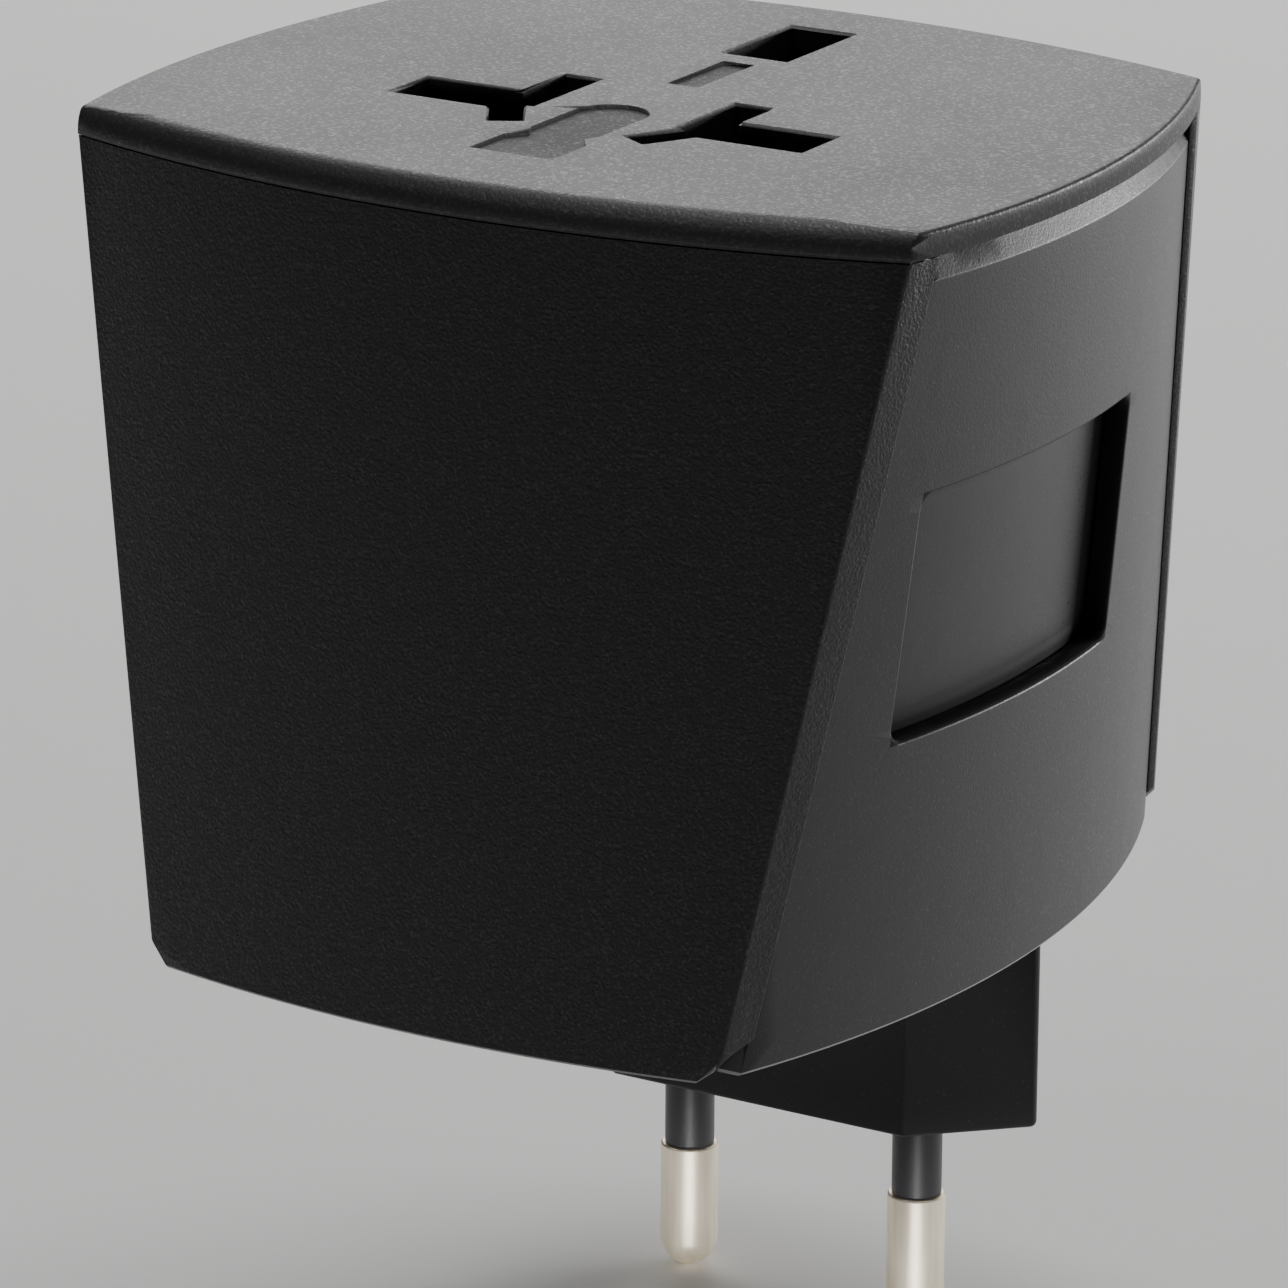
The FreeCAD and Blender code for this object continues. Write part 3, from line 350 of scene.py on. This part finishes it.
def nickel(name, colour):
    """Bright nickel plate: fine lengthwise marks, faint clouding and a slightly warm tone."""
    settings = bpy.context.scene.adapter_metal
    shader = Shader(name)
    marks = shader.noise(settings.mark, 4.0, (1, 1, 0.06))
    cloud = shader.noise(3.2 * MM, 4.0, (1, 1, 0.4))
    pits = shader.noise(0.35 * MM, 2.0)
    worn = shader.ramp(cloud * 0.6 + marks * 0.4, [(0.34, 0.0), (0.62, 1.0)])
    warm = [part * tint for part, tint in zip(colour, WARM_TINT)]
    shader.set(Base_Color=shader.mix(worn, rgba(warm, 1.0), rgba(warm, 1.32)))
    shader.set(Roughness=0.30 + 0.14 * cloud + 0.08 * marks, Metallic=0.8)
    shader.set(Normal=shader.bump(marks + 0.2 * pits, settings.mark_depth))
    return shader.material


def rolled(name, colour, rough):
    """Rolled or drawn metal: marks along the strip and light tarnish."""
    settings = bpy.context.scene.adapter_metal
    shader = Shader(name)
    marks = shader.noise(settings.mark * 0.6, 3.0, (1, 0.08, 0.3))
    tarnish = shader.noise(5 * MM, 4.0)
    shader.set(Base_Color=shader.mix(tarnish, rgba(colour, 0.72), rgba(colour, 1.08)), Metallic=1.0)
    shader.set(Roughness=rough + 0.12 * tarnish + 0.08 * marks)
    shader.set(Normal=shader.bump(marks, settings.mark_depth * 0.6))
    return shader.material


def glazed(name, colour):
    """Glazed ceramic with faint speckles."""
    shader = Shader(name)
    speckle = shader.cells(0.5 * MM) > 0.93
    wave = shader.noise(2.5 * MM, 2.0)
    shader.set(Base_Color=shader.mix(speckle * 0.5, rgba(colour), rgba(colour, 0.6)))
    shader.set(Roughness=0.22 + 0.12 * wave, Normal=shader.bump(wave, 0.02 * MM))
    return shader.material


def floor_finish(colour):
    """Plain matt studio floor."""
    shader = Shader("studio_floor")
    haze = shader.noise(0.25, 3.0)
    shader.set(Base_Color=shader.mix(haze, rgba(colour, 0.97), rgba(colour, 1.02)))
    shader.set(Roughness=0.75 + 0.1 * haze)
    shader.surface.inputs["Specular IOR Level"].default_value = 0.2
    return shader.material


PLASTICS = {  # what moulded is told about each plastic, by the plastic's setting
    # the cap: painted shade on the floors of its recesses
    "cap": dict(rough=0.46, fleck=0.16, gloss=0.55, glint_gain=2.4, painted_shade=recess_floor_shade),
    # the covers: a painted highlight along their lower edge
    "cover": dict(rough=0.42, grain=0.9, depth=1.6, fleck=0.16, gloss=0.42, glint_gain=2.5, rim=0.6),
    # the side panels: painted shade on their window walls, a painted highlight along their lower edge
    "panel": dict(rough=0.40, grain=0.7, depth=0.45, fleck=0.05, gloss=0.55, painted_shade=window_wall_shade, rim=0.8),
    # the press plates: a painted shadow along the border of their windows
    "press_plate": dict(rough=0.36, grain=0.6, depth=0.22, fleck=0.02, painted_shade=plate_border_shadow),
    "base": dict(rough=0.46, grain=0.9, depth=0.7, fleck=0.05),
    "inner": dict(rough=0.55, grain=1.2, depth=0.5, gloss=0.3),
    "plug": dict(rough=0.42, grain=0.8, depth=0.35, fleck=0.02, gloss=0.45),
    "carriage": dict(rough=0.45, grain=0.9, depth=0.4, fleck=0.02),
    "knob": dict(rough=0.40, grain=0.7, depth=0.4, fleck=0.04),
    "sleeve": dict(rough=0.38, grain=0.8, depth=0.3),
}


def make_finishes():
    """Every finish of the object, by the record's slot."""
    plastic = bpy.context.scene.adapter_plastic
    metal = bpy.context.scene.adapter_metal
    finishes = {}
    for setting, look in PLASTICS.items():
        slot = setting + "_plastic"
        finishes[slot] = moulded(slot, getattr(plastic, setting), **look)
    finishes["nickel"] = nickel("nickel", metal.nickel)
    finishes["contact_brass"] = rolled("contact_brass", metal.brass, 0.24)
    finishes["spring_steel"] = rolled("spring_steel", metal.steel, 0.26)
    finishes["ceramic"] = glazed("ceramic", metal.ceramic)
    return finishes


FINISHES = {}


# ---- modelling ----------------------------------------------------------------------------
def place(name, shape, node):
    """Makes an object of a bmesh that stands for a CAD node: same body, same slot."""
    mesh = bpy.data.meshes.new(name)
    shape.to_mesh(mesh)
    shape.free()
    mesh.shade_smooth()
    mesh.set_sharp_from_angle(angle=CREASE)
    mesh.materials.append(FINISHES[SLOT_OF[node]])
    piece = bpy.data.objects.new(name, mesh)
    bpy.context.scene.collection.objects.link(piece)
    even = piece.modifiers.new("even_normals", "WEIGHTED_NORMAL")
    even.keep_sharp = True
    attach(piece, BODY_OF[node])
    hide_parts(node)
    return piece


def merged_copy(node):
    """Bmesh of a CAD node with its triangles joined."""
    shape = bmesh.new()
    shape.from_mesh(frame["nodes"][node].data)
    bmesh.ops.remove_doubles(shape, verts=shape.verts, dist=MERGE)
    return shape


def smooth(node):
    """Stands an evenly shaded copy in for a CAD node whose edges are already rounded."""
    return place(node + "_body", merged_copy(node), node)


def creased(shape):
    return [edge for edge in shape.edges if edge.is_manifold and edge.calc_face_angle() > CREASE]


def soften(node, edge):
    """Stands a rounded-edge copy in for a CAD node."""
    shape = merged_copy(node)
    bmesh.ops.dissolve_limit(shape, angle_limit=FLAT, verts=shape.verts, edges=shape.edges)
    bmesh.ops.bevel(shape, geom=creased(shape), offset=edge, offset_type="OFFSET", segments=2, profile=0.5,
                    affect="EDGES", clamp_overlap=True, material=-1)
    bmesh.ops.remove_doubles(shape, verts=shape.verts, dist=MERGE / 4)
    return place(node + "_body", shape, node)


def dress(nodes):
    """Gives CAD nodes that stay in sight their finish."""
    for node in nodes:
        materials = frame["nodes"][node].data.materials
        materials.clear()
        materials.append(FINISHES[SLOT_OF[node]])


def turned(name, node, profile, centre):
    """Stands a piece turned about an upright axis in for a CAD node; profile is (radius, height) points."""
    shape = bmesh.new()
    corners = [shape.verts.new((centre.x + radius, centre.y, height)) for radius, height in profile]
    runs = [shape.edges.new(pair) for pair in zip(corners, corners[1:])]
    bmesh.ops.spin(shape, geom=corners + runs, cent=centre, axis=(0, 0, 1), angle=2 * math.pi, steps=TURNS,
                   use_merge=True)
    bmesh.ops.remove_doubles(shape, verts=shape.verts, dist=MERGE)
    bmesh.ops.recalc_face_normals(shape, faces=shape.faces)
    return place(name, shape, node)


def quarter(radius, centre_radius, centre_height, start, steps=8):
    """Points of a quarter round, from the angle start, a quarter turn anticlockwise."""
    angles = [start + math.pi / 2 * k / steps for k in range(steps + 1)]
    return [(centre_radius + radius * math.cos(a), centre_height + radius * math.sin(a)) for a in angles]


def middle(node):
    low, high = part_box(node)
    return (low + high) / 2


def sides(stem):
    return [stem + "_right", stem + "_left"]


def poles(stem):
    return [stem + "_line", stem + "_neutral"]


# ---- pieces -------------------------------------------------------------------------------
class PieceOperator:
    """Common to the operators: it can be undone."""

    bl_options = {"REGISTER", "UNDO"}


class ADAPTER_OT_finishes(PieceOperator, bpy.types.Operator):
    """Make the plastics, metals and ceramic of the adapter"""

    bl_idname = "adapter.finishes"
    bl_label = "Finishes"

    def execute(self, context):
        FINISHES.update(make_finishes())
        return {"FINISHED"}


class ADAPTER_OT_top_cap(PieceOperator, bpy.types.Operator):
    """Top cap with the socket openings and blind recesses"""

    bl_idname = "adapter.top_cap"
    bl_label = "Top cap"

    def execute(self, context):
        smooth("top_cap")
        return {"FINISHED"}


class ADAPTER_OT_covers(PieceOperator, bpy.types.Operator):
    """Front and back cover, the two shells that wrap round the corners"""

    bl_idname = "adapter.covers"
    bl_label = "Covers"

    def execute(self, context):
        for node in ("front_cover", "back_cover"):
            smooth(node)
        return {"FINISHED"}


class ADAPTER_OT_side_panels(PieceOperator, bpy.types.Operator):
    """Side panels with their windows, and the press plates behind them"""

    bl_idname = "adapter.side_panels"
    bl_label = "Side panels and press plates"

    def execute(self, context):
        for node in sides("side_panel") + sides("press_plate"):
            smooth(node)
        return {"FINISHED"}


class ADAPTER_OT_base(PieceOperator, bpy.types.Operator):
    """Bottom plate and the screws that close the housing"""

    bl_idname = "adapter.base"
    bl_label = "Bottom plate and screws"

    def execute(self, context):
        smooth("bottom_plate")
        soften("housing_screws", context.scene.adapter_metal.edge)
        return {"FINISHED"}


class ADAPTER_OT_inside(PieceOperator, bpy.types.Operator):
    """Chassis, fuse, contacts, busbars and springs inside the housing"""

    bl_idname = "adapter.inside"
    bl_label = "Inner parts"

    def execute(self, context):
        dress(["inner_chassis", "fuse_body", "fuse_caps", "fuse_clips", "shutter_spring"])
        dress(sides("plate_spring") + poles("contact") + poles("busbar"))
        soften("safety_shutter", context.scene.adapter_plastic.edge)
        return {"FINISHED"}


class ADAPTER_OT_european_plug(PieceOperator, bpy.types.Operator):
    """European plug: block, two round pins with sleeves, wipers and slider knob"""

    bl_idname = "adapter.european_plug"
    bl_label = "European plug"

    def execute(self, context):
        smooth("eu_plug_block")
        soften("eu_slide_knob", context.scene.adapter_plastic.edge)
        dress(sides("eu_wiper"))
        for pin, sleeve in zip(sides("eu_pin"), sides("eu_pin_sleeve")):
            self.pin(pin, sleeve)
            self.sleeve(sleeve)
        return {"FINISHED"}

    def pin(self, node, sleeve):
        """Bare metal with a round tip and a turned shoulder, and the neck inside the sleeve."""
        low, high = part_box(node)
        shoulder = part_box(sleeve)[0].z
        radius = (high.x - low.x) / 2
        neck, chamfer = radius - PIN_NECK_STEP, 0.12 * MM
        profile = quarter(radius, 0, low.z + radius, -math.pi / 2, 14)
        profile += [(radius, shoulder - chamfer), (radius - chamfer, shoulder), (neck, shoulder)]
        profile += [(neck, high.z), (0, high.z)]
        turned(node + "_body", node, profile, middle(node))

    def sleeve(self, node):
        """Insulating sleeve with a soft lower rim."""
        low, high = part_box(node)
        radius = (high.x - low.x) / 2
        bore, rim = radius - SLEEVE_WALL, 0.15 * MM
        profile = [(bore, low.z)] + quarter(rim, radius - rim, low.z + rim, -math.pi / 2, 5)
        profile += [(radius, high.z), (bore, high.z), (bore, low.z)]
        turned(node + "_body", node, profile, middle(node))


class ADAPTER_OT_british_plug(PieceOperator, bpy.types.Operator):
    """British plug: carriage, three rectangular pins, sleeves and slider knob"""

    bl_idname = "adapter.british_plug"
    bl_label = "British plug"

    def execute(self, context):
        for node in ("uk_carriage", "uk_slide_knob", "uk_earth_pin"):
            soften(node, context.scene.adapter_plastic.edge)
        for node in ["uk_pin_sleeves"] + poles("uk_pin"):
            soften(node, context.scene.adapter_metal.edge)
        return {"FINISHED"}


class ADAPTER_OT_american_plug(PieceOperator, bpy.types.Operator):
    """American and Australian plug: carriage, turrets that twist, blades and slider knob"""

    bl_idname = "adapter.american_plug"
    bl_label = "American and Australian plug"

    def execute(self, context):
        for node in ["us_carriage", "us_slide_knob"] + sides("us_turret"):
            soften(node, context.scene.adapter_plastic.edge)
        for node in sides("us_blade"):
            soften(node, context.scene.adapter_metal.edge)
        return {"FINISHED"}


# ---- stage --------------------------------------------------------------------------------
AIM_HOUSING = -0.03     # height that the large lamps aim at, in the middle of the housing
AIM_PINS = -0.0835      # height that the small lamp aims at, on the bare metal of the pins
OPEN, NARROW = 180.0, 5.0   # spread of a lamp's light in degrees
SOFTBOXES = (  # name, azimuth, elevation, distance, width, height, power, height aimed at, spread
    ("back_softbox", 212.0, 22.0, 0.95, 0.80, 0.50, 3.7, AIM_HOUSING, OPEN),
    ("right_softbox", 150.0, 3.0, 0.80, 0.40, 0.16, 4.0, AIM_HOUSING, OPEN),
    ("top_softbox", 180.0, 74.0, 1.00, 0.60, 0.60, 5.8, AIM_HOUSING, OPEN),
    ("cap_softbox", -32.0, 60.0, 1.10, 0.45, 0.30, 0.8, AIM_HOUSING, OPEN),
    ("pin_softbox", 30.0, 0.0, 0.24, 0.16, 0.004, 0.013, AIM_PINS, NARROW),
)


def direction(azimuth, elevation):
    """Unit vector; azimuth 0 is the front, -Y, and turns to the right, +X."""
    flat = math.cos(elevation)
    return Vector((math.sin(azimuth) * flat, -math.cos(azimuth) * flat, math.sin(elevation)))


class ADAPTER_OT_stage(PieceOperator, bpy.types.Operator):
    """Pale floor, soft studio lights and the camera"""

    bl_idname = "adapter.stage"
    bl_label = "Stage"

    def execute(self, context):
        settings = context.scene.adapter_stage
        self.floor(settings)
        self.surroundings(context, settings)
        for softbox in SOFTBOXES:
            self.lamp(softbox, settings.power)
        self.camera(context, settings)
        return {"FINISHED"}

    def floor(self, settings):
        shape = bmesh.new()
        bmesh.ops.create_grid(shape, x_segments=1, y_segments=1, size=settings.floor_size / 2)
        bmesh.ops.translate(shape, verts=shape.verts, vec=(0, 0, CAD_BOX[0][2]))
        mesh = bpy.data.meshes.new("studio_floor")
        shape.to_mesh(mesh)
        shape.free()
        mesh.materials.append(floor_finish(settings.floor_colour))
        floor = bpy.data.objects.new("studio_floor", mesh)
        bpy.context.scene.collection.objects.link(floor)

    def surroundings(self, context, settings):
        world = bpy.data.worlds.new("studio")
        world.use_nodes = True
        background = world.node_tree.nodes["Background"]
        background.inputs["Color"].default_value = (1, 1, 1, 1)
        background.inputs["Strength"].default_value = settings.sky
        context.scene.world = world

    def lamp(self, softbox, power):
        name, azimuth, elevation, distance, width, height, watts, aim, spread = softbox
        light = bpy.data.lights.new(name, "AREA")
        light.shape, light.size, light.size_y = "RECTANGLE", width, height
        light.energy, light.spread = watts * power, math.radians(spread)
        lamp = bpy.data.objects.new(name, light)
        away = direction(math.radians(azimuth), math.radians(elevation))
        lamp.location = Vector((0, 0, aim)) + away * distance
        lamp.visible_camera = False
        lamp.rotation_euler = away.to_track_quat("Z", "Y").to_euler()
        bpy.context.scene.collection.objects.link(lamp)

    def camera(self, context, settings):
        lens = bpy.data.cameras.new("studio_camera")
        lens.lens = settings.lens
        lens.shift_x, lens.shift_y = settings.shift
        lens.clip_start = 0.01
        camera = bpy.data.objects.new("studio_camera", lens)
        away = direction(settings.azimuth, settings.elevation)
        turn = away.to_track_quat("Z", "Y") @ Quaternion((0, 0, 1), settings.roll)
        eye = Vector(settings.target) + away * settings.distance
        camera.matrix_world = Matrix.LocRotScale(eye, turn, None)
        context.scene.collection.objects.link(camera)
        context.scene.camera = camera


OPERATORS = (
    ADAPTER_OT_finishes,
    ADAPTER_OT_top_cap,
    ADAPTER_OT_covers,
    ADAPTER_OT_side_panels,
    ADAPTER_OT_base,
    ADAPTER_OT_inside,
    ADAPTER_OT_european_plug,
    ADAPTER_OT_british_plug,
    ADAPTER_OT_american_plug,
    ADAPTER_OT_stage,
)


class ADAPTER_PT_panel(bpy.types.Panel):
    """Sidebar panel with the settings and the steps"""

    bl_idname = "ADAPTER_PT_panel"
    bl_label = "Travel adapter"
    bl_space_type = "VIEW_3D"
    bl_region_type = "UI"
    bl_category = "Adapter"

    def draw(self, context):
        for group in SETTINGS:
            settings = getattr(context.scene, group)
            box = self.layout.box()
            for name in settings.__annotations__:
                box.prop(settings, name)
        for operator in OPERATORS:
            self.layout.operator(operator.bl_idname)


SETTINGS = {
    "adapter_plastic": ADAPTER_PG_plastic,
    "adapter_metal": ADAPTER_PG_metal,
    "adapter_stage": ADAPTER_PG_stage,
}
CLASSES = (*SETTINGS.values(), *OPERATORS, ADAPTER_PT_panel)


def register():
    for cls in CLASSES:
        bpy.utils.register_class(cls)
    for name, group in SETTINGS.items():
        setattr(bpy.types.Scene, name, PointerProperty(type=group))


def unregister():
    for name in SETTINGS:
        delattr(bpy.types.Scene, name)
    for cls in reversed(CLASSES):
        bpy.utils.unregister_class(cls)


def main():
    """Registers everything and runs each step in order."""
    register()
    for operator in OPERATORS:
        getattr(bpy.ops.adapter, operator.bl_idname.split(".")[1])()


if __name__ == "__main__":
    main()
